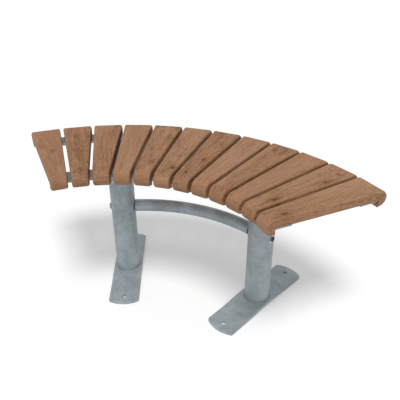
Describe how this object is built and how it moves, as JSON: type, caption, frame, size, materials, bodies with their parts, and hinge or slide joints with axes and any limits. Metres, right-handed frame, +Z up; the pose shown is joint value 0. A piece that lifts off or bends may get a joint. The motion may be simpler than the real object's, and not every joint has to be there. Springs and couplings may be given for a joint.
{
  "type": "curved bench",
  "caption": "Backless bench with a curved seat of tapered timber slats on steel rails, carried by round posts with floor anchor plates and a bent tube between them.",
  "frame": {"origin": "on the ground, under the middle of the bench's bounding box", "axes": "+X along the bench, from the left leg to the right leg; +Y towards the outer side of the curve; +Z up"},
  "size_m": [1.0696, 0.4688, 0.454],
  "materials": {
    "timber": "oiled, fine grained",
    "galvanised_steel": "hot-dip galvanised, dull",
    "bright_steel": "zinc plated, satin",
    "dark_steel": "blackened, satin"
  },
  "bodies": {
    "root": {"slat_01": "timber", "slat_02": "timber", "slat_03": "timber", "slat_04": "timber", "slat_05": "timber", "slat_06": "timber", "slat_07": "timber", "slat_08": "timber", "slat_09": "timber", "slat_10": "timber", "slat_11": "timber", "slat_12": "timber", "front_rail": "galvanised_steel", "rear_rail": "galvanised_steel", "left_leg_tube": "galvanised_steel", "right_leg_tube": "galvanised_steel", "left_base_plate": "galvanised_steel", "right_base_plate": "galvanised_steel", "left_head_plate": "galvanised_steel", "right_head_plate": "galvanised_steel", "left_stretcher_plug": "galvanised_steel", "right_stretcher_plug": "galvanised_steel", "foot_welds": "galvanised_steel", "head_welds": "galvanised_steel", "stretcher_tube": "galvanised_steel", "stretcher_washers": "bright_steel", "rail_screws": "bright_steel", "rail_washers": "bright_steel", "rail_nuts": "bright_steel", "front_slat_screws": "bright_steel", "rear_slat_screws": "bright_steel", "stretcher_bolts": "dark_steel"}
  },
  "joints": []
}
